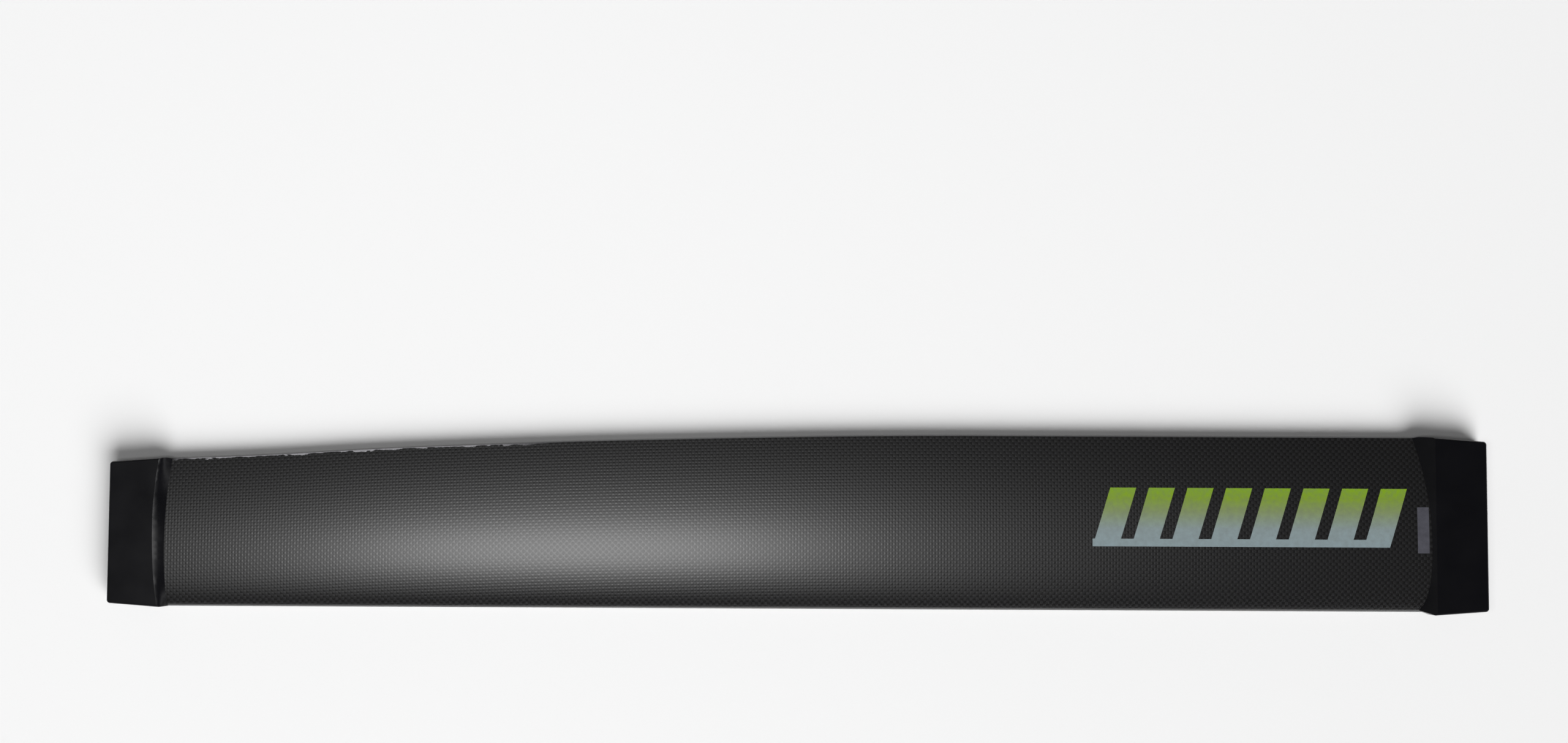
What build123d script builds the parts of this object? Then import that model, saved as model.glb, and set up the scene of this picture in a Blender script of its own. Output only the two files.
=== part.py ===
from build123d import *

import math
import os

# Carbon mast of a kiteboard hydrofoil: a bonded hollow-section blade with a tapered plug at each end.
#
# Millimetres. +X runs up the mast, from the fuselage plug to the board plug. -Y is forward, so the
# leading edge is at -Y. +Z is the starboard side. The mast lies on its port side: Z = 0 is what it
# lies on, and the origin is the centre of the underside of its bounding box.

# Blade ---------------------------------------------------------------------------------------
mast_length = 900.0  # end face to end face
board_chord = 113.6  # constant from the board end down to where the taper starts
fuselage_chord = 95.8  # at the lower tip of the spar
taper_length = 563.0  # from the lower tip of the spar
# How the chord is lost over the taper: share of its length from the lower tip, share of the loss.
taper_law = ((0.0, 1.0), (0.15, 0.86), (0.32, 0.55), (0.61, 0.21), (1.0, 0.0))
thickness_ratio = 0.13  # blade thickness over chord
thickest_at = 0.38  # share of the chord, from the leading edge
closing_slope = 0.19  # of each side, where the section closes at the trailing edge
trailing_edge_ratio = 0.0106  # trailing edge thickness over chord

# Laminate and core ---------------------------------------------------------------------------
skin = 1.4  # thickness of a shell
glue = 0.15  # bond line between pieces
bead_depth = 6.0  # from the blade's nose to the back of the leading edge bead
spar_width = 28.0  # over both webs
web = 1.5
cap = 2.2
strip_length = 17.0  # trailing edge strip, from its front to the trailing edge
strip_tip = 1.4  # least thickness of the strip, where the shells close on it

# Plugs: the two ends ---------------------------------------------------------------------------
plug_rise = 1.6  # how far a plug's faces stand above the blade's thickest point
side_taper = 4.25  # degrees, on the front and the rear of a plug
face_draft = 1.2  # degrees, on its port and starboard faces
corner_radius = 2.2  # of the end corners seen from the side
rim_radius = 1.2  # round its faces, towards the end
end_wall = 6.0  # between the end face and the spar's tip
front_lip = {"board": 2.0, "fuselage": 0.55}  # how far a plug stands forward of the blade
rear_lip = {"board": 0.8, "fuselage": 0.45}
front_shoulder = {"board": 35.0, "fuselage": 33.9}  # from the end face to the top of the front lip
rear_shoulder = {"board": 43.0, "fuselage": 36.7}
front_lip_run = {"board": 6.0, "fuselage": 4.4}  # length over which a lip falls to the blade
rear_lip_run = {"board": 4.1, "fuselage": 2.0}
bevel_crest = 33.9  # board plug: from the end face to the top of the bevel
bevel_slope = 0.65
# Fuselage plug: crest and foot of the crescent ramp, from the end face, at the leading edge, at the
# blade's thickest line and at the trailing edge.
ramp_crest = (32.7, 27.9, 31.9)
ramp_foot = (38.0, 36.3, 38.7)
ramp_overrun = 1.5  # how deep the ramp's cutter runs on into the blade

# Threaded inserts ----------------------------------------------------------------------------
thread_bore = 3.4  # radius: the tapping size of an M8 thread
insert_radius = 5.5
insert_length = 22.0
collar_radius = 6.3
collar_thickness = 1.6
collar_sink = 0.2  # from the end face down to the collar
insert_edge = {"board": 15.3, "fuselage": 11.0}  # from a plug's corner to the insert's axis
pocket_relief = 2.0  # depth of a pocket past its insert
socket_wall = 4.8  # between a pocket and the shells' socket

# Films on the blade --------------------------------------------------------------------------
film = 0.12
film_seat = 0.02
graphic_end = 52.0  # from the board end face to the graphic
graphic_length = 206.0
graphic_front = 41.9  # from the leading edge to the graphic
graphic_width = 38.3
graphic_base = 5.0  # the strip that the bars stand on
bar_count = 8
bar_width = 17.0
bar_lean = 12.0
label_end = 38.2  # from the board end face to the label
label_length = 7.6
label_front = 38.3  # from the leading edge to the label
label_width = 30.0

# Worked out ----------------------------------------------------------------------------------
end_x = mast_length / 2
side = {"board": 1, "fuselage": -1}  # which way each end looks along X
plug_half = board_chord * thickness_ratio / 2 + plug_rise
overall_width = front_lip["board"] + board_chord + rear_lip["board"]
leading_edge_y = front_lip["board"] - overall_width / 2
mid_z = plug_half
spar_x = end_x - end_wall
pocket_depth = collar_sink + insert_length + pocket_relief
socket_x = end_x - pocket_depth - socket_wall
station_count = 15
stations = [spar_x * (2 * i / (station_count - 1) - 1) for i in range(station_count)]
far = overall_width  # clear of everything, for cutters


def smooth(value, table):
    """Reads a table of pairs along a curve with no kinks (cubic between pairs, level at the ends)."""
    value = min(max(value, table[0][0]), table[-1][0])
    slopes = [(c[1] - a[1]) / (c[0] - a[0]) for a, c in zip(table, table[2:])]
    slopes = [0.0, *slopes, 0.0]
    for (x0, y0), (x1, y1), m0, m1 in zip(table, table[1:], slopes, slopes[1:]):
        if value <= x1:
            step = x1 - x0
            t = (value - x0) / step
            rise = y0 + (y1 - y0) * t * t * (3 - 2 * t)
            return rise + step * t * (1 - t) * (m0 * (1 - t) - m1 * t)


def chord(x):
    loss = smooth((x + spar_x) / taper_length, taper_law)
    return board_chord - (board_chord - fuselage_chord) * loss


def trailing_edge_y(x):
    return leading_edge_y + chord(x)


def section_terms():
    """Terms of the half section for a unit chord, ahead of and behind its thickest point.

    Behind, it is a cubic in the distance from the trailing edge. Ahead, it is a root term, which
    rounds the nose, and a cubic that meets the rear part with the same slope and curvature.
    """
    half, tail = thickness_ratio / 2, trailing_edge_ratio / 2
    m, n = thickest_at, 1 - thickest_at
    d2 = (3 * (half - tail) - 2 * n * closing_slope) / n**2
    d3 = (n * closing_slope - 2 * (half - tail)) / n**3
    bend = 2 * d2 + 6 * d3 * n
    a0 = 0.2969 * thickness_ratio / 0.2
    a3 = (half - 0.375 * a0 * math.sqrt(m) + bend * m**2 / 2) / m**3
    a2 = (bend + 0.25 * a0 / m**1.5 - 6 * a3 * m) / 2
    a1 = -a0 / (2 * math.sqrt(m)) - 2 * a2 * m - 3 * a3 * m**2
    return (a0, a1, a2, a3), (tail, closing_slope, d2, d3)


ahead, behind = section_terms()


def half_section(share):
    """Half thickness of a unit chord at a share of it from the leading edge, and its slope."""
    if share <= thickest_at:
        a0, a1, a2, a3 = ahead
        u = max(share, 1e-9)
        height = a0 * math.sqrt(u) + a1 * u + a2 * u**2 + a3 * u**3
        return height, a0 / (2 * math.sqrt(u)) + a1 + 2 * a2 * u + 3 * a3 * u**2
    d0, d1, d2, d3 = behind
    v = 1 - share
    return d0 + d1 * v + d2 * v**2 + d3 * v**3, -(d1 + 2 * d2 * v + 3 * d3 * v**2)


def under(x, share, depth):
    """The point (y, z) that lies depth under the starboard surface."""
    height, slope = half_section(share)
    length = math.hypot(1, slope)
    y = leading_edge_y + share * chord(x) + depth * slope / length
    return y, mid_z + height * chord(x) - depth / length


def share_where(x, depth, reached):
    """The share from which on a point depth under the surface has reached something, by halving."""
    low, high = 0.0, 1.0
    for _ in range(40):
        middle = (low + high) / 2
        if reached(*under(x, middle, depth)):
            high = middle
        else:
            low = middle
    return high


def share_at(x, depth, y):
    return share_where(x, depth, lambda at_y, at_z: at_y >= y)


def closing_share(x, depth, half_gap):
    """The share where the inside of the skin comes within half_gap of the mid-plane, at the rear."""
    middle_y = leading_edge_y + thickest_at * chord(x)
    return share_where(x, depth, lambda y, z: y > middle_y and z <= mid_z + half_gap)


def curve(x, depth, start, end, count):
    """Points (y, z) depth under the starboard surface, closer together towards the nose."""
    shares = [start + (end - start) * (1 - math.cos(math.pi / 2 * i / (count - 1))) for i in range(count)]
    return [under(x, share, depth) for share in shares]


def nose_curve(x, depth, end, count):
    """The same from where the curve leaves the mid-plane at the nose, and its directions at its ends.

    Where the nose is sharper than the depth, the curve leaves the mid-plane behind the nose's centre.
    """
    start = share_where(x, depth, lambda y, z: z > mid_z) if depth > 0 else 0.0
    points = curve(x, depth, start, end, count)
    points[0] = (points[0][0], mid_z)
    return points, [(1, half_section(share)[1]) for share in (start, end)]


def mirrored(points):
    """The same points on the port side."""
    return [(y, 2 * mid_z - z) for y, z in points]


def section(x, top, ends=None, back=()):
    """A sketch at x, the same on both sides: a top curve, its mirror image, and what joins them.

    ends are the top curve's directions at its two ends, and back the corners behind it.
    """
    bottom = mirrored(top)
    below = [(y, -z) for y, z in ends] if ends else None
    with BuildSketch(Plane.YZ.offset(x)) as face:
        with BuildLine():
            Spline(top, tangents=ends, tangent_scalars=(1, 1) if ends else None)
            if top[-1] != bottom[-1]:
                Polyline(top[-1], *back, bottom[-1])
            Spline(bottom, tangents=below, tangent_scalars=(1, 1) if ends else None)
            if top[0] != bottom[0]:
                Line(bottom[0], top[0])
        make_face()
    return face.sketch


def aerofoil(clearance=0.0):
    """The blade's outer form over the whole length of the spar, grown by a clearance."""
    faces = []
    for x in stations:
        top, ends = nose_curve(x, -clearance, 1, 13)
        back = [(trailing_edge_y(x) + clearance, top[-1][1])] if clearance else []
        back += mirrored(back)
        faces.append(section(x, top, ends, back))
    with BuildPart() as form:
        loft(faces)
    return form.part


def hollow():
    """What the two shells leave free between them."""
    faces = []
    for x in stations:
        top, ends = nose_curve(x, skin, closing_share(x, skin, 0), 13)
        top[-1] = (top[-1][0], mid_z)
        faces.append(section(x, top, ends))
    with BuildPart() as form:
        loft(faces)
    return form.part


def filler(front_y, back_y, depth=skin + glue, count=7):
    """A core piece from front_y(x) to back_y(x), reaching depth under the surface on both sides."""
    faces = []
    for x in stations:
        top = curve(x, depth, share_at(x, depth, front_y(x)), share_at(x, depth, back_y(x)), count)
        faces.append(section(x, top))
    with BuildPart() as form:
        loft(faces)
    return form.part


def between(shape, low, high):
    """The part of a piece between two values of x."""
    with BuildPart() as piece:
        add(shape)
        split(bisect_by=Plane.YZ.offset(low), keep=Keep.TOP)
        split(bisect_by=Plane.YZ.offset(high), keep=Keep.BOTTOM)
    return piece.part


def save(shape, label):
    """Labels a finished piece and writes it."""
    shape.label = label
    export_step(shape, f"parts/{label}.step")
    print(f"{label}: {len(shape.solids())} solid(s), {shape.volume / 1000:.2f} cm3")


os.makedirs("parts", exist_ok=True)
blade_low, blade_high = glue - socket_x, socket_x - glue

# The two half shells, which meet at the mid-plane ahead of the bead and behind the strip -------
blade = aerofoil()
inside = hollow()
with BuildPart() as skins:
    add(blade)
    add(inside, mode=Mode.SUBTRACT)
both_skins = between(skins.part, blade_low, blade_high)
for name, kept in (("starboard_shell", Keep.TOP), ("port_shell", Keep.BOTTOM)):
    with BuildPart() as shell:
        add(both_skins)
        split(bisect_by=Plane.XY.offset(mid_z), keep=kept)
    save(shell.part, name)


# The core, from the leading edge back ----------------------------------------------------------
def spar_middle(x):
    return leading_edge_y + thickest_at * chord(x)


def spar_front(x):
    return spar_middle(x) - spar_width / 2


def spar_back(x):
    return spar_middle(x) + spar_width / 2


def bead_back(x):
    return leading_edge_y + bead_depth


def strip_front(x):
    return trailing_edge_y(x) - strip_length


def strip_back(x):
    return under(x, closing_share(x, skin + glue, strip_tip / 2), skin + glue)[0]


def shifted(line, distance):
    """The line moved aft."""
    return lambda x: line(x) + distance


bead_faces = []
for x in stations:
    top, ends = nose_curve(x, skin + glue, share_at(x, skin + glue, bead_back(x)), 6)
    bead_faces.append(section(x, top, ends))
with BuildPart() as bead:
    loft(bead_faces)
save(between(bead.part, blade_low, blade_high), "leading_edge_bead")

core_lines = {
    "nose_core": (shifted(bead_back, glue), shifted(spar_front, -glue)),
    "tail_core": (shifted(spar_back, glue), shifted(strip_front, -glue)),
    "trailing_edge_strip": (strip_front, strip_back),
}
for name, (front, back) in core_lines.items():
    save(between(filler(front, back), blade_low, blade_high), name)

# The box spar runs past the shells at both ends, as a tenon in each plug ------------------------
web_lines = {
    "front_shear_web": (spar_front, shifted(spar_front, web)),
    "rear_shear_web": (shifted(spar_back, -web), spar_back),
}
for name, (front, back) in web_lines.items():
    save(filler(front, back, count=4), name)

box_front, box_back = shifted(spar_front, web + glue), shifted(spar_back, -web - glue)
caps_and_core = filler(box_front, box_back)
core_room = filler(shifted(box_front, -web), shifted(box_back, web), skin + 2 * glue + cap)
spar_core = filler(box_front, box_back, skin + 2 * glue + cap)
save(spar_core, "spar_core")
cap_room = filler(shifted(box_front, -web), shifted(box_back, web), skin + glue + cap)
for name, kept in (("starboard_spar_cap", Keep.TOP), ("port_spar_cap", Keep.BOTTOM)):
    with BuildPart() as spar_cap:
        add(caps_and_core)
        add(cap_room, mode=Mode.SUBTRACT)
        split(bisect_by=Plane.XY.offset(mid_z), keep=kept)
    save(spar_cap.part, name)


# The plugs -------------------------------------------------------------------------------------
side_slope = math.tan(math.radians(side_taper))
face_slope = math.tan(math.radians(face_draft))


def end_corners(end):
    """The y of a plug's front and rear corners on its end face."""
    lip_x = side[end] * (end_x - rear_shoulder[end])
    front = leading_edge_y - front_lip[end] + front_shoulder[end] * side_slope
    rear = trailing_edge_y(lip_x) + rear_lip[end] - rear_shoulder[end] * side_slope
    return front, rear


def insert_places(end):
    """The y of the two inserts, as far from the front corner as from the rear one."""
    front, rear = end_corners(end)
    return front + insert_edge[end], rear - insert_edge[end]


def plug_outline(end):
    """Corners of a plug seen from starboard, as (distance from the end face, y), front to rear.

    Each lip's slope runs on past the blade's edge, so that the outline closes inside the blade.
    """
    front, rear = end_corners(end)
    edge_x = side[end] * (end_x - rear_shoulder[end])
    lips = []
    for edge, lip, start, run in (
        (leading_edge_y, -front_lip[end], front_shoulder[end], front_lip_run[end]),
        (trailing_edge_y(edge_x), rear_lip[end], rear_shoulder[end], rear_lip_run[end]),
    ):
        lips.append([(start, edge + lip), (start + 2 * run, edge - lip)])
    return [(0, front), *lips[0], *reversed(lips[1]), (0, rear)]


def at_end(end, points):
    """Turns pairs that start with a distance from the end face into pairs that start with x."""
    return [(side[end] * (end_x - distance), other) for distance, other in points]


def quadratic(values, y, places):
    """The parabola through three values at three places, read at y."""
    total = 0.0
    for i, value in enumerate(values):
        for j, place in enumerate(places):
            if j != i:
                value *= (y - place) / (places[i] - place)
        total += value
    return total


def bevel_cutter():
    """What the flat bevel takes off the starboard face of the board plug."""
    tip = bevel_crest + plug_half / bevel_slope
    corners = [(bevel_crest, mid_z + plug_half), (tip, mid_z), (far, mid_z), (far, mid_z + plug_half)]
    with BuildPart() as cutter:
        with BuildSketch(Plane.XZ):
            with BuildLine():
                Polyline(at_end("board", corners), close=True)
            make_face()
        extrude(amount=far, both=True)
    return cutter.part


def ramp_cutter():
    """What the crescent ramp takes off the starboard face of the fuselage plug."""
    x = -socket_x
    places = (leading_edge_y, spar_middle(x), trailing_edge_y(x))
    count = 9
    low, high = leading_edge_y - ramp_overrun, trailing_edge_y(x) + ramp_overrun
    faces = []
    for i in range(count):
        y = low + (high - low) * i / (count - 1)
        share = min(max((y - leading_edge_y) / chord(x), 0), 1)
        crest, foot = quadratic(ramp_crest, y, places), quadratic(ramp_foot, y, places)
        top = mid_z + plug_half
        drop = plug_half - half_section(share)[0] * chord(x)
        slope = 1.5 * drop / (foot - crest)
        floor = (foot + ramp_overrun / slope, top - drop - ramp_overrun)
        with BuildSketch(Plane.XZ.offset(-y)) as face:
            with BuildLine():
                start, end = at_end("fuselage", [(crest, top), floor])
                Spline(start, end, tangents=[(1, 0), (1, -slope)], tangent_scalars=(1, 1))
                beyond = at_end("fuselage", [(far / 2, floor[1]), (far / 2, top + 1), (crest, top + 1)])
                Polyline(end, *beyond, start)
            make_face()
        faces.append(face.sketch)
    with BuildPart() as cutter:
        loft(faces)
    return cutter.part


def plug_body(end):
    """A plug as moulded, before it is bored: its outline between two drafted faces, and its shoulder."""
    outward = side[end] > 0
    x = side[end] * end_x
    reach = bevel_crest if end == "board" else ramp_crest[0]
    end_half = plug_half - reach * face_slope
    profile = [(0, mid_z - end_half), (0, mid_z + end_half), (reach, mid_z + plug_half)]
    profile += [(far, mid_z + plug_half), (far, mid_z - plug_half), (reach, mid_z - plug_half)]
    with BuildPart() as body:
        with BuildSketch(Plane.XY):
            with BuildLine():
                Polyline(at_end(end, plug_outline(end)), close=True)
            make_face()
        extrude(amount=2 * plug_half)
        uprights = body.edges().filter_by(Axis.Z).sort_by(Axis.X, reverse=outward)
        fillet(uprights[:2], corner_radius)
        with BuildSketch(Plane.XZ):
            with BuildLine():
                Polyline(at_end(end, profile), close=True)
            make_face()
        extrude(amount=far, both=True, mode=Mode.INTERSECT)
        end_rim = body.faces().sort_by(Axis.X, reverse=outward)[0].edges().filter_by(Axis.Y)
        fillet(end_rim, rim_radius)
    return body.part


def screw_insert(end, y):
    """A collared threaded insert, bored right through."""
    plane = Plane(origin=(side[end] * (end_x - collar_sink), y, mid_z), z_dir=(-side[end], 0, 0))
    with BuildPart() as insert:
        with BuildSketch(plane):
            Circle(collar_radius)
        extrude(amount=collar_thickness)
        with BuildSketch(plane):
            Circle(insert_radius)
        extrude(amount=insert_length)
        with BuildSketch(plane):
            Circle(thread_bore)
        extrude(amount=insert_length, mode=Mode.SUBTRACT)
    return insert.part


def insert_room(end, y):
    """The stepped pocket that takes an insert, open at the end face."""
    plane = Plane(origin=(side[end] * end_x, y, mid_z), z_dir=(-side[end], 0, 0))
    with BuildPart() as room:
        with BuildSketch(plane):
            Circle(collar_radius + glue)
        extrude(amount=collar_sink + collar_thickness + glue)
        with BuildSketch(plane):
            Circle(insert_radius + glue)
        extrude(amount=pocket_depth)
    return room.part


socket_form = aerofoil(glue)
tenon_form = filler(shifted(spar_front, -glue), shifted(spar_back, glue), skin)
for end in side:
    socket_ends = sorted((side[end] * socket_x, side[end] * (socket_x - far)))
    mortise_ends = sorted((side[end] * spar_x, side[end] * (socket_x - glue)))
    shoulder = bevel_cutter() if end == "board" else ramp_cutter()
    with BuildPart() as plug:
        add(plug_body(end))
        add(shoulder, mode=Mode.SUBTRACT)
        add(shoulder.mirror(Plane.XY.offset(mid_z)), mode=Mode.SUBTRACT)
        add(between(socket_form, *socket_ends), mode=Mode.SUBTRACT)
        add(between(tenon_form, *mortise_ends), mode=Mode.SUBTRACT)
        for y in insert_places(end):
            add(insert_room(end, y), mode=Mode.SUBTRACT)
    save(plug.part, f"{end}_plug")
    for place, y in zip(("front", "rear"), insert_places(end)):
        save(screw_insert(end, y), f"{end}_insert_{place}")
    print(f"{end} inserts at y = {insert_places(end)}")


# Films on the blade ------------------------------------------------------------------------------
film_room = aerofoil(film_seat)
film_form = aerofoil(film_seat + film)


def film_piece(outlines, kept, label):
    """A film lying on one face of the blade, cut to the outlines given as corners (x, y)."""
    with BuildPart() as piece:
        for corners in outlines:
            with BuildSketch(Plane.XY):
                with BuildLine():
                    Polyline(corners, close=True)
                make_face()
            extrude(amount=2 * plug_half)
        add(film_form, mode=Mode.INTERSECT)
        add(film_room, mode=Mode.SUBTRACT)
        split(bisect_by=Plane.XY.offset(mid_z), keep=kept)
    save(piece.part, label)


graphic_x = end_x - graphic_end - graphic_length
graphic_y = leading_edge_y + graphic_front
graphic_back = graphic_y + graphic_width
pitch = (graphic_length - bar_width - bar_lean) / (bar_count - 1)
base = [(graphic_x, graphic_y), (graphic_x + graphic_length - bar_lean, graphic_y)]
base += [(x, graphic_y + graphic_base) for x, _ in reversed(base)]
bars = [base]
for i in range(bar_count):
    x = graphic_x + i * pitch
    bar = [(x, graphic_y), (x + bar_width, graphic_y)]
    bars.append(bar + [(x + bar_width + bar_lean, graphic_back), (x + bar_lean, graphic_back)])
film_piece(bars, Keep.TOP, "starboard_graphic")
film_piece(bars, Keep.BOTTOM, "port_graphic")

label_x = end_x - label_end - label_length
label_y = leading_edge_y + label_front
label_xs, label_ys = (label_x, label_x + label_length), (label_y, label_y + label_width)
label_corners = [(label_xs[0], label_ys[0]), (label_xs[1], label_ys[0])]
label_corners += [(label_xs[1], label_ys[1]), (label_xs[0], label_ys[1])]
film_piece([label_corners], Keep.TOP, "serial_label")
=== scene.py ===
import math

import bpy
from mathutils import Matrix, Vector


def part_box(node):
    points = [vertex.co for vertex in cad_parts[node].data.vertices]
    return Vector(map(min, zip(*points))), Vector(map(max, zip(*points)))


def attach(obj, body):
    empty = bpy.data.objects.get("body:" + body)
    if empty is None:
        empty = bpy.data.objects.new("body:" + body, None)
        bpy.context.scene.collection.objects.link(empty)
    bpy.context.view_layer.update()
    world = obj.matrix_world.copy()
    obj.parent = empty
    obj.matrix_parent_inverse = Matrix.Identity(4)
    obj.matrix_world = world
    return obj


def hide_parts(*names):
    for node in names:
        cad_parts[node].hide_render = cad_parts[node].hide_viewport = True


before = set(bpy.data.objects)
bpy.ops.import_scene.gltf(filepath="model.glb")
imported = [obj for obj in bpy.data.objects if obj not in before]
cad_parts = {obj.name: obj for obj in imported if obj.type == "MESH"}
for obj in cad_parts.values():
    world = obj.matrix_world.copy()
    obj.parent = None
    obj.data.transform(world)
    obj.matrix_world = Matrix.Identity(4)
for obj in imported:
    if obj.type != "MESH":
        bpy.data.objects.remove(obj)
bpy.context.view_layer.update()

MM = 0.001
BODY = "root"

# Sizes, in metres -------------------------------------------------------------------------------
blade_low, blade_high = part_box("starboard_shell")
LOW_X, HIGH_X = blade_low[0], blade_high[0]
NOSE_Y = blade_low[1]
MID_Z = blade_low[2]
SPAR_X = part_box("spar_core")[1][0]
CHORD = 113.6 * MM  # at the board end
TIP_CHORD = 95.8 * MM  # at the spar's lower tip
TAPER = 563 * MM  # length over which the chord grows, from the spar's lower tip
TAPER_LAW = ((0.0, 1.0), (0.15, 0.86), (0.32, 0.55), (0.61, 0.21), (1.0, 0.0))
THICKNESS_RATIO = 0.13
THICKEST_AT = 0.38  # share of the chord
CLOSING_SLOPE = 0.19  # of each face at the trailing edge
TAIL_RATIO = 0.0106  # thickness of the trailing edge as a share of the chord
SKIN = 1.4 * MM
TOW = 2.0 * MM  # width of one tow of the cloth
WEAR_AND_HIGHLIGHT_X = (-404 * MM, -188 * MM)  # stretch of the trailing edge with pale chips worn through to the resin, and a painted highlight along the thin edge

# Steps of the blade's mesh: round the outside, round the inside, and along the mast.
OUTER_STEPS = 96
INNER_STEPS = 40
STATIONS = 101
NOSE_BUNCHING = 1.15  # above 1, more of the steps fall near the leading edge
HALVINGS = 40
CREASE = 40  # degrees: sharper edges than this stay sharp

# Light and camera -------------------------------------------------------------------------------
CEILING_LEVEL = 0.02
WALL_LEVEL = 0.9
WALL_TOP = (0.1, 0.25)  # sine of the height at which the wall starts to fade, and ends
SUN_STRENGTH = 3.8
SUN_SPREAD = 50  # degrees across, for a wide soft shadow
SUN_WAY = (-0.6, 1.15, -1.1)
OVERHEAD_PLACE = (-0.3, -0.07, 1.6)
OVERHEAD_SIZE = (0.54, 0.3)
OVERHEAD_POWER = 3.6
CAMERA_PLACE = (-9.8 * MM, 4.1 * MM, 1441 * MM)
CAMERA_TILT = 3.806  # degrees about X
CAMERA_ROLL = 0.288  # degrees about Z


# Helpers ----------------------------------------------------------------------------------------
def linear(code):
    """An sRGB hex colour as linear red, green, blue and alpha."""
    channels = [int(code[i:i + 2], 16) / 255 for i in (1, 3, 5)]
    return [c / 12.92 if c <= 0.04045 else ((c + 0.055) / 1.055) ** 2.4 for c in channels] + [1.0]


def add_node(tree, kind, inputs=None, **settings):
    """Adds a shader node with its settings. An input is a value, a socket, or a node's first output."""
    node = tree.nodes.new("ShaderNode" + kind)
    for name, value in settings.items():
        setattr(node, name, value)
    for key, value in (inputs or {}).items():
        if isinstance(value, bpy.types.Node):
            value = value.outputs[0]
        if isinstance(value, bpy.types.NodeSocket):
            tree.links.new(value, node.inputs[key])
        else:
            node.inputs[key].default_value = value
    return node


def new_material(name):
    """An empty material, and a short way to add nodes to it."""
    material = bpy.data.materials.new(name)
    material.use_nodes = True
    tree = material.node_tree
    tree.nodes.clear()
    return material, lambda kind, inputs=None, **settings: add_node(tree, kind, inputs, **settings)


def select_only(piece):
    bpy.ops.object.select_all(action="DESELECT")
    piece.select_set(True)
    bpy.context.view_layer.objects.active = piece


def put_on(piece, material):
    piece.data.materials.clear()
    piece.data.materials.append(material)


# Materials --------------------------------------------------------------------------------------
def carbon_cloth():
    """Plain-weave carbon cloth, wet laid and flatted to a satin clear coat: near black, with a fine
    basket of tows under a soft wide sheen. The warp tows are painted lighter than the weft, a painted
    sheen for the light the fibres catch tow by tow. Along part of its trailing edge the coat is knocked
    through to pale dry resin in chips, and the same pale colour is a painted highlight along the thin edge."""
    material, add = new_material("carbon_plain_weave_clear_coat")
    cloth = add("SeparateXYZ", {0: add("UVMap", uv_map="cloth")})
    along = add("Math", {0: cloth.outputs[0], 1: TOW}, operation="DIVIDE")
    across = add("Math", {0: cloth.outputs[1], 1: TOW}, operation="DIVIDE")
    cell = add("Math", {0: add("Math", {0: along}, operation="FLOOR"),
                        1: add("Math", {0: across}, operation="FLOOR")}, operation="ADD")
    warp = add("Math", {0: cell, 1: 1.0}, operation="PINGPONG")
    # Each tow is a rounded ridge that dips where it goes under the next one.
    ridges = []
    for turns in (along, across):
        wave = add("Math", {0: add("Math", {0: turns, 1: math.pi}, operation="MULTIPLY")}, operation="SINE")
        ridges.append(add("Math", {0: wave}, operation="ABSOLUTE"))
    pillow = add("Math", {0: ridges[0], 1: ridges[1]}, operation="MULTIPLY")
    place = add("TexCoord").outputs["Object"]
    cloud = add("TexNoise", {"Vector": place, "Scale": 1 / (60 * MM), "Detail": 3.0})
    # The warp tows are painted lighter than the weft: a painted sheen for the light the fibres catch by
    # their direction.
    weft_tone = add("Mix", {0: cloud, 6: linear("#0b0b0d"), 7: linear("#100f0e")}, data_type="RGBA")
    tone = add("Mix", {0: warp, 6: weft_tone.outputs[2], 7: linear("#1a1a1b")}, data_type="RGBA")
    gloss = add("MapRange", {0: warp, 3: 0.36, 4: 0.44})
    bump = add("Bump", {"Strength": 0.6, "Distance": 0.1 * MM, "Height": pillow})
    # Worn stretch: pale chips along the very edge, from a noise drawn out along the mast. The pale line
    # along the thin edge is also a painted highlight.
    drawn = add("Mapping", {0: place, 3: (1 / (7 * MM), 1 / (2 * MM), 1 / (2 * MM))})
    chips_and_highlight = add("TexNoise", {"Vector": drawn, "Scale": 1.0, "Detail": 4.0})
    reach = add("MapRange", {0: chips_and_highlight, 1: 0.42, 2: 0.72, 3: 0.25 * MM, 4: 1.7 * MM})
    edge = add("Math", {0: cloth.outputs[1]}, operation="ABSOLUTE")
    inside = add("Math", {0: edge, 1: reach}, operation="LESS_THAN")
    start = add("MapRange", {0: cloth.outputs[0], 1: WEAR_AND_HIGHLIGHT_X[0] - 8 * MM, 2: WEAR_AND_HIGHLIGHT_X[0] + 8 * MM})
    stop = add("MapRange", {0: cloth.outputs[0], 1: WEAR_AND_HIGHLIGHT_X[1] + 25 * MM, 2: WEAR_AND_HIGHLIGHT_X[1] - 25 * MM})
    stretch = add("Math", {0: start, 1: stop}, operation="MULTIPLY")
    worn_and_highlight = add("Math", {0: inside, 1: stretch}, operation="MULTIPLY")
    # Pale resin colour: real chips, and a painted highlight along the thin trailing edge.
    colour = add("Mix", {0: worn_and_highlight, 6: tone.outputs[2], 7: linear("#a8a7ab")}, data_type="RGBA")
    shader = add("BsdfPrincipled", {
        "Base Color": colour.outputs[2], "Roughness": gloss, "IOR": 2.0, "Normal": bump,
        "Coat Weight": 0.95, "Coat Roughness": 0.25, "Coat IOR": 1.5})
    add("OutputMaterial", {0: shader})
    return material


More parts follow.
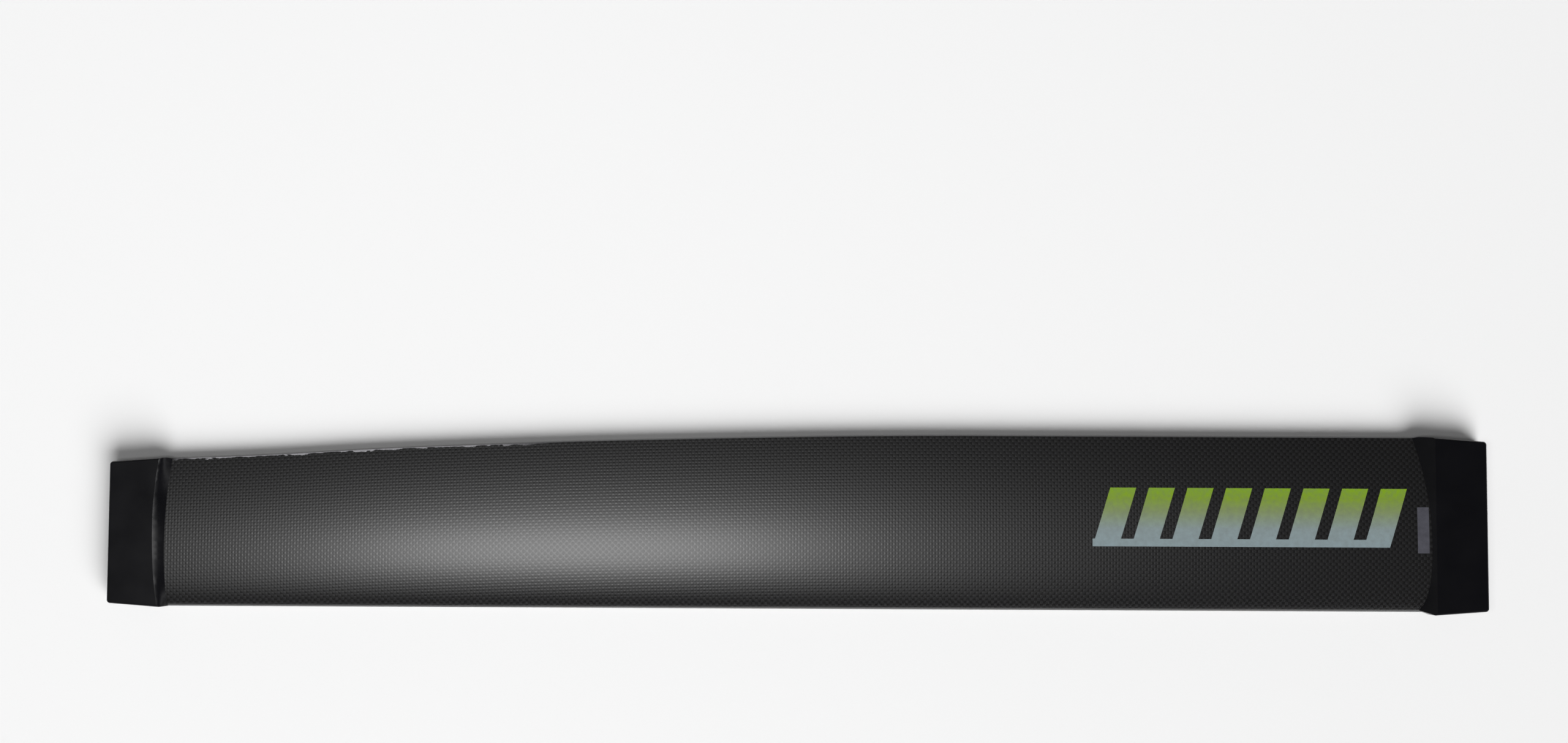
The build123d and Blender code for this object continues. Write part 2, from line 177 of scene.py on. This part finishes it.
def moulded_epoxy():
    """Black pigmented epoxy, cast against a polished tool: deep black with a tight gloss, a faint
    ripple, and hazy smears where release wax dried."""
    material, add = new_material("black_moulded_epoxy")
    place = add("TexCoord").outputs["Object"]
    ripple = add("TexNoise", {"Vector": place, "Scale": 1 / (9 * MM), "Detail": 3.0})
    bump = add("Bump", {"Strength": 0.25, "Distance": 0.03 * MM, "Height": ripple})
    smear = add("TexNoise", {"Vector": place, "Scale": 1 / (22 * MM), "Detail": 4.0})
    rough = add("MapRange", {0: smear, 3: 0.22, 4: 0.38})
    tone = add("Mix", {0: smear, 6: linear("#09090c"), 7: linear("#111114")}, data_type="RGBA")
    shader = add("BsdfPrincipled", {"Base Color": tone.outputs[2], "Roughness": rough, "IOR": 1.5,
                                    "Normal": bump})
    add("OutputMaterial", {0: shader})
    return material


def straight_carbon():
    """Pultruded carbon: straight fibres along the mast, seen as fine dark streaks in clear epoxy."""
    material, add = new_material("unidirectional_carbon")
    place = add("TexCoord").outputs["Object"]
    drawn = add("Mapping", {0: place, 3: (1 / (60 * MM), 1 / (0.4 * MM), 1 / (0.4 * MM))})
    streaks = add("TexNoise", {"Vector": drawn, "Scale": 1.0, "Detail": 3.0})
    tone = add("Mix", {0: streaks, 6: linear("#121214"), 7: linear("#2c2c2f")}, data_type="RGBA")
    rough = add("MapRange", {0: streaks, 3: 0.3, 4: 0.5})
    bump = add("Bump", {"Strength": 0.4, "Distance": 0.04 * MM, "Height": streaks})
    shader = add("BsdfPrincipled", {"Base Color": tone.outputs[2], "Roughness": rough, "IOR": 1.55,
                                    "Normal": bump})
    add("OutputMaterial", {0: shader})
    return material


def rigid_foam():
    """Rigid closed-cell PVC foam, sawn: buff yellow, dull, pitted with open cells."""
    material, add = new_material("structural_pvc_foam")
    place = add("TexCoord").outputs["Object"]
    cells = add("TexVoronoi", {"Vector": place, "Scale": 1 / (0.8 * MM)})
    tint = add("TexNoise", {"Vector": place, "Scale": 1 / (35 * MM), "Detail": 2.0})
    tone = add("Mix", {0: tint, 6: linear("#cdb98a"), 7: linear("#dccb9f")}, data_type="RGBA")
    bump = add("Bump", {"Strength": 0.7, "Distance": 0.3 * MM, "Height": cells})
    shader = add("BsdfPrincipled", {"Base Color": tone.outputs[2], "Roughness": 0.9, "Normal": bump})
    add("OutputMaterial", {0: shader})
    return material


def turned_steel(name, axis):
    """Bright-turned stainless steel: fine rings round the bore from the tool's feed."""
    material, add = new_material(name)
    place = add("TexCoord").outputs["Object"]
    centred = add("Mapping", {0: place, 1: (0, -axis[1], -axis[2])})
    flat = add("VectorMath", {0: centred, 1: (0, 1, 1)}, operation="MULTIPLY")
    radius = add("VectorMath", {0: flat}, operation="LENGTH").outputs["Value"]
    turns = add("Math", {0: radius, 1: 2 * math.pi / (0.25 * MM)}, operation="MULTIPLY")
    rings = add("Math", {0: turns}, operation="SINE")
    grain = add("TexNoise", {"Vector": place, "Scale": 1 / (1.5 * MM), "Detail": 2.0})
    bump = add("Bump", {"Strength": 0.35, "Distance": 0.02 * MM, "Height": rings})
    rough = add("MapRange", {0: grain, 3: 0.24, 4: 0.42})
    tone = add("Mix", {0: grain, 6: linear("#a9aaac"), 7: linear("#c6c7c8")}, data_type="RGBA")
    shader = add("BsdfPrincipled", {"Base Color": tone.outputs[2], "Metallic": 1.0, "Roughness": rough,
                                    "Normal": bump})
    add("OutputMaterial", {0: shader})
    return material


def printed_film(low_y, high_y):
    """Printed vinyl film: grey blue at the front edge, fading to lime at the rear, a little scuffed."""
    material, add = new_material("printed_vinyl_film")
    place = add("TexCoord").outputs["Object"]
    apart = add("SeparateXYZ", {0: place})
    share = add("MapRange", {0: apart.outputs[1], 1: low_y, 2: high_y})
    ramp = add("ValToRGB", {0: share})
    stops = ramp.color_ramp.elements
    stops[0].color = linear("#8a9aa0")
    stops[1].color = linear("#84ab1e")
    stops.new(0.3).color = linear("#8b9a9c")
    stops.new(0.6).color = linear("#859663")
    stops.new(0.82).color = linear("#84a22c")
    scuff = add("TexNoise", {"Vector": place, "Scale": 1 / (3 * MM), "Detail": 5.0})
    dull = add("MapRange", {0: scuff, 1: 0.3, 2: 0.75, 3: 0.0, 4: 0.35})
    colour = add("Mix", {0: dull, 6: ramp.outputs[0], 7: linear("#6c716c")}, data_type="RGBA")
    rough = add("MapRange", {0: scuff, 3: 0.38, 4: 0.55})
    bump = add("Bump", {"Strength": 0.2, "Distance": 0.02 * MM, "Height": scuff})
    shader = add("BsdfPrincipled", {"Base Color": colour.outputs[2], "Roughness": rough, "IOR": 1.5,
                                    "Normal": bump})
    add("OutputMaterial", {0: shader})
    return material


def worn_label():
    """Silvery polyester label, rubbed and dirty: dim grey with darker cloudy rubs."""
    material, add = new_material("worn_polyester_label")
    place = add("TexCoord").outputs["Object"]
    rub = add("TexNoise", {"Vector": place, "Scale": 1 / (4 * MM), "Detail": 6.0, "Roughness": 0.65})
    tone = add("Mix", {0: rub, 6: linear("#39393f"), 7: linear("#5d5d66")}, data_type="RGBA")
    rough = add("MapRange", {0: rub, 3: 0.45, 4: 0.65})
    bump = add("Bump", {"Strength": 0.3, "Distance": 0.03 * MM, "Height": rub})
    shader = add("BsdfPrincipled", {"Base Color": tone.outputs[2], "Roughness": rough, "Normal": bump})
    add("OutputMaterial", {0: shader})
    return material


def paper():
    """Matt white studio paper."""
    material, add = new_material("white_paper")
    place = add("TexCoord").outputs["Object"]
    fibre = add("TexNoise", {"Vector": place, "Scale": 1 / (1.2 * MM), "Detail": 2.0})
    tone = add("Mix", {0: fibre, 6: linear("#fafafa"), 7: linear("#fdfdfd")}, data_type="RGBA")
    shader = add("BsdfPrincipled", {"Base Color": tone.outputs[2], "Roughness": 0.9,
                                    "Specular IOR Level": 0.1})
    add("OutputMaterial", {0: shader})
    return material


# The blade --------------------------------------------------------------------------------------
def smooth(value, table):
    """Reads a table of pairs along a curve with no kinks, level at both ends."""
    value = min(max(value, table[0][0]), table[-1][0])
    slopes = [0.0, *((c[1] - a[1]) / (c[0] - a[0]) for a, c in zip(table, table[2:])), 0.0]
    for (x0, y0), (x1, y1), m0, m1 in zip(table, table[1:], slopes, slopes[1:]):
        if value <= x1:
            step = x1 - x0
            t = (value - x0) / step
            rise = y0 + (y1 - y0) * t * t * (3 - 2 * t)
            return rise + step * t * (1 - t) * (m0 * (1 - t) - m1 * t)


def chord(x):
    return CHORD - (CHORD - TIP_CHORD) * smooth((x + SPAR_X) / TAPER, TAPER_LAW)


def section_terms():
    """Terms of the half section for a unit chord, ahead of and behind its thickest point.

    The nose has the roundness of a classic four-digit aerofoil. The two parts meet with the same height,
    slope and bend.
    """
    half, tail = THICKNESS_RATIO / 2, TAIL_RATIO / 2
    m, n = THICKEST_AT, 1 - THICKEST_AT
    d2 = (3 * (half - tail) - 2 * n * CLOSING_SLOPE) / n**2
    d3 = (n * CLOSING_SLOPE - 2 * (half - tail)) / n**3
    bend = 2 * d2 + 6 * d3 * n
    a0 = 0.2969 * THICKNESS_RATIO / 0.2
    a3 = (half - 0.375 * a0 * math.sqrt(m) + bend * m**2 / 2) / m**3
    a2 = (bend + 0.25 * a0 / m**1.5 - 6 * a3 * m) / 2
    a1 = -a0 / (2 * math.sqrt(m)) - 2 * a2 * m - 3 * a3 * m**2
    return (a0, a1, a2, a3), (tail, CLOSING_SLOPE, d2, d3)


AHEAD, BEHIND = section_terms()


def half_section(share):
    """Half thickness of a unit chord at a share of it from the leading edge, and its slope."""
    if share <= THICKEST_AT:
        a0, a1, a2, a3 = AHEAD
        u = max(share, 1e-9)
        return (a0 * math.sqrt(u) + a1 * u + a2 * u**2 + a3 * u**3,
                a0 / (2 * math.sqrt(u)) + a1 + 2 * a2 * u + 3 * a3 * u**2)
    d0, d1, d2, d3 = BEHIND
    v = 1 - share
    return d0 + d1 * v + d2 * v**2 + d3 * v**3, -(d1 + 2 * d2 * v + 3 * d3 * v**2)


def under(x, share, depth):
    """Place along Y, and height over the mid-plane, of a point at some depth under the surface."""
    height, slope = half_section(share)
    length = math.hypot(1, slope)
    return NOSE_Y + share * chord(x) + depth * slope / length, height * chord(x) - depth / length


def closing_share(x, depth):
    """The share at which the inside of the skin meets the mid-plane, by halving."""
    low, high = THICKEST_AT, 1.0
    for _ in range(HALVINGS):
        middle = (low + high) / 2
        if under(x, middle, depth)[1] > 0:
            low = middle
        else:
            high = middle
    return high


def nose_spaced(end, steps):
    """Shares of the chord from 0 to end, closer together towards the nose."""
    return [end * (1 - math.cos(math.pi / 2 * i / steps)) ** NOSE_BUNCHING for i in range(steps + 1)]


def shell_ring(x):
    """One closed section of a half shell, as (y, height): out along the skin, back along its inside."""
    outer = [under(x, share, 0) for share in nose_spaced(1, OUTER_STEPS)]
    inner = [under(x, share, SKIN) for share in nose_spaced(closing_share(x, SKIN), INNER_STEPS)]
    outer[0] = (NOSE_Y, 0.0)
    inner[0] = (NOSE_Y + SKIN, 0.0)
    inner[-1] = (inner[-1][0], 0.0)
    return outer + [(outer[-1][0], 0.0)] + inner[::-1]


def half_shell(name, node, side):
    """A half shell, side 1 to starboard and -1 to port, from a tube divided along its length."""
    ring_size = len(shell_ring(0))
    bpy.ops.object.select_all(action="DESELECT")
    bpy.ops.mesh.primitive_cylinder_add(
        vertices=ring_size, radius=CHORD / 2, depth=HIGH_X - LOW_X, end_fill_type="NGON",
        location=((LOW_X + HIGH_X) / 2, 0, MID_Z), rotation=(0, math.pi / 2, 0))
    piece = bpy.context.object
    piece.name = name
    bpy.ops.object.transform_apply(location=True, rotation=True, scale=True)
    mesh = piece.data
    bpy.ops.object.mode_set(mode="EDIT")
    bpy.ops.mesh.select_mode(type="EDGE")
    bpy.ops.mesh.select_all(action="DESELECT")
    bpy.ops.object.mode_set(mode="OBJECT")
    for edge in mesh.edges:
        first, last = (mesh.vertices[i].co.x for i in edge.vertices)
        edge.select = abs(first - last) > SKIN
    bpy.ops.object.mode_set(mode="EDIT")
    bpy.ops.mesh.subdivide(number_cuts=STATIONS - 1)
    bpy.ops.object.mode_set(mode="OBJECT")
    step = 2 * math.pi / ring_size
    rings, places = {}, []
    for vertex in mesh.vertices:
        x, y, z = vertex.co
        place = round(math.atan2(y, z - MID_Z) / step) % ring_size
        station = round(x / MM, 2)
        if station not in rings:
            rings[station] = shell_ring(x)
        ring_y, ring_z = rings[station][place]
        places.append((station, place))
        vertex.co = (x, ring_y, MID_Z + side * ring_z)
    lay_cloth(mesh, rings, places)
    put_on(piece, materials["carbon"])
    select_only(piece)
    bpy.ops.object.mode_set(mode="EDIT")
    bpy.ops.mesh.select_all(action="SELECT")
    bpy.ops.mesh.normals_make_consistent(inside=False)
    bpy.ops.object.mode_set(mode="OBJECT")
    bpy.ops.object.shade_smooth_by_angle(angle=math.radians(CREASE))
    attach(piece, BODY)
    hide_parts(node)


def lay_cloth(mesh, rings, places):
    """The cloth's own coordinates: metres along the mast, and metres forward of the trailing edge."""
    girths = {}
    for station, ring in rings.items():
        total = [0.0]
        for a, b in zip(ring, ring[1:]):
            total.append(total[-1] + math.dist(a, b))
        girths[station] = [total[OUTER_STEPS] - girth for girth in total]
    layer = mesh.uv_layers.new(name="cloth")
    for loop in mesh.loops:
        station, place = places[loop.vertex_index]
        layer.data[loop.index].uv = (station * MM, girths[station][place])


# Everything in its place ------------------------------------------------------------------------
materials = {
    "carbon": carbon_cloth(),
    "epoxy": moulded_epoxy(),
    "straight": straight_carbon(),
    "foam": rigid_foam(),
    "film": printed_film(*(corner[1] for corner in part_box("starboard_graphic"))),
    "label": worn_label(),
}
half_shell("starboard_skin", "starboard_shell", 1)
half_shell("port_skin", "port_shell", -1)
finishes = {
    "epoxy": ("board_plug", "fuselage_plug"),
    "straight": ("leading_edge_bead", "trailing_edge_strip", "front_shear_web", "rear_shear_web",
                 "starboard_spar_cap", "port_spar_cap"),
    "foam": ("nose_core", "spar_core", "tail_core"),
    "film": ("starboard_graphic", "port_graphic"),
    "label": ("serial_label",),
}
for finish, nodes in finishes.items():
    for node in nodes:
        put_on(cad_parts[node], materials[finish])
for node in ("board_insert_front", "board_insert_rear", "fuselage_insert_front", "fuselage_insert_rear"):
    low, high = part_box(node)
    put_on(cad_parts[node], turned_steel(f"turned_steel_{node}", (low + high) / 2))


# Floor, lights and camera ------------------------------------------------------------------------
def floor():
    bpy.ops.object.select_all(action="DESELECT")
    bpy.ops.mesh.primitive_plane_add(size=30, location=(0, 0, 0))
    plane = bpy.context.object
    plane.name = "studio_floor"
    put_on(plane, paper())


def add_lamp(name, kind, way, place=(0, 0, 0)):
    """A lamp of some kind that shines along a direction."""
    lamp = bpy.data.lights.new(name, kind)
    holder = bpy.data.objects.new(name, lamp)
    bpy.context.collection.objects.link(holder)
    holder.location = place
    holder.rotation_euler = Vector(way).to_track_quat("-Z", "Y").to_euler()
    return holder


def studio():
    """A dark ceiling over a pale wall all the way round, a small overhead softbox and a wide key."""
    world = bpy.data.worlds.new("studio")
    bpy.context.scene.world = world
    world.use_nodes = True
    tree = world.node_tree
    place = add_node(tree, "TexCoord").outputs["Generated"]
    height = add_node(tree, "SeparateXYZ", {0: place}).outputs[2]
    level = add_node(tree, "MapRange", {0: height, 1: WALL_TOP[0], 2: WALL_TOP[1],
                                        3: WALL_LEVEL, 4: CEILING_LEVEL})
    background = tree.nodes["Background"]
    background.inputs[0].default_value = linear("#ffffff")
    tree.links.new(level.outputs[0], background.inputs[1])
    overhead = add_lamp("overhead_softbox", "AREA", (0, 0, -1), OVERHEAD_PLACE)
    overhead.data.shape = "RECTANGLE"
    overhead.data.size, overhead.data.size_y = OVERHEAD_SIZE
    overhead.data.energy = OVERHEAD_POWER
    # The key casts the shadow to the rear and towards the fuselage end. It is kept out of the gloss.
    key = add_lamp("wide_key", "SUN", SUN_WAY)
    key.data.energy = SUN_STRENGTH
    key.data.angle = math.radians(SUN_SPREAD)
    key.visible_glossy = False


def camera():
    lens = bpy.data.cameras.new("camera")
    lens.lens, lens.sensor_width = 50, 36
    holder = bpy.data.objects.new("camera", lens)
    bpy.context.collection.objects.link(holder)
    tilt, roll = math.radians(CAMERA_TILT), math.radians(CAMERA_ROLL)
    place = Matrix.Translation(CAMERA_PLACE)
    holder.matrix_world = place @ Matrix.Rotation(tilt, 4, "X") @ Matrix.Rotation(roll, 4, "Z")
    bpy.context.scene.camera = holder


floor()
studio()
camera()
bpy.context.scene.view_settings.view_transform = "Standard"
